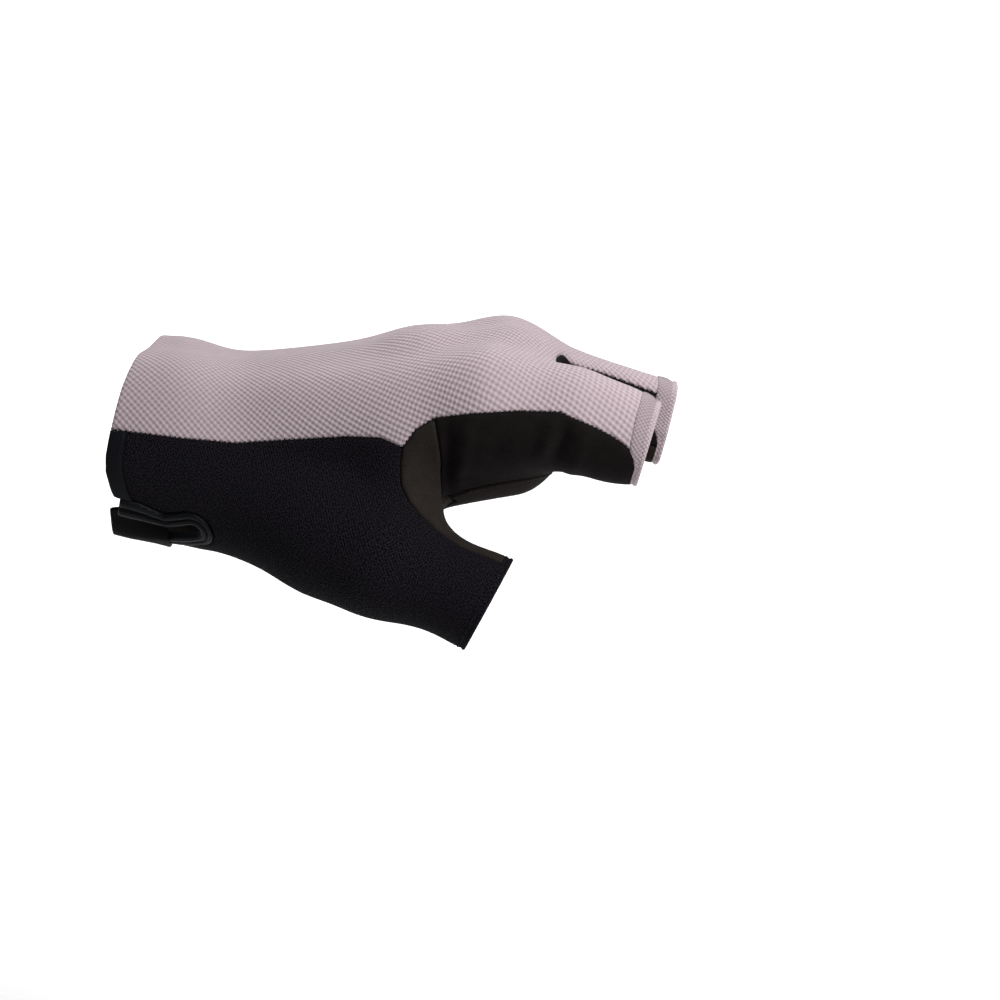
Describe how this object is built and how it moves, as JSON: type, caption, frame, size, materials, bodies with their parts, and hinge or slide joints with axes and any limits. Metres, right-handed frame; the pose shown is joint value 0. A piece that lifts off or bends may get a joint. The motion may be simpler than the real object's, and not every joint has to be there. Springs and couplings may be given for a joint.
{
  "type": "short-finger cycling glove",
  "caption": "Worn left-hand short-finger cycling glove with knit back, looped thumb panel, suede palm and pull strap through a cuff slit.",
  "frame": {"origin": "centre of the cuff opening, where the wrist goes in", "axes": "+X from the wrist to the fingertips, +Y from the thumb side to the little finger side, +Z out of the back of the hand"},
  "size_m": [0.1502, 0.105, 0.0761],
  "materials": {
    "knit": "matte lavender-grey piqué knit",
    "terry": "matte black looped knit",
    "suede": "matte black synthetic suede",
    "elastic": "smooth black elastic tape",
    "webbing": "flat matte black tab"
  },
  "bodies": {
    "root": {"slit_binding": "elastic", "index_middle_gusset": "suede", "middle_ring_gusset": "suede", "ring_little_gusset": "suede", "back_panel": "knit", "index_side_panel": "suede", "thumb_crotch_patch": "suede", "thumb_panel": "terry", "palm_panel": "suede", "index_hem": "knit", "middle_hem": "knit", "ring_hem": "knit", "little_hem": "knit", "thumb_hem": "elastic", "cuff_binding_thumb": "elastic", "cuff_binding_palm": "elastic", "wrist_strap": "webbing"}
  },
  "joints": []
}
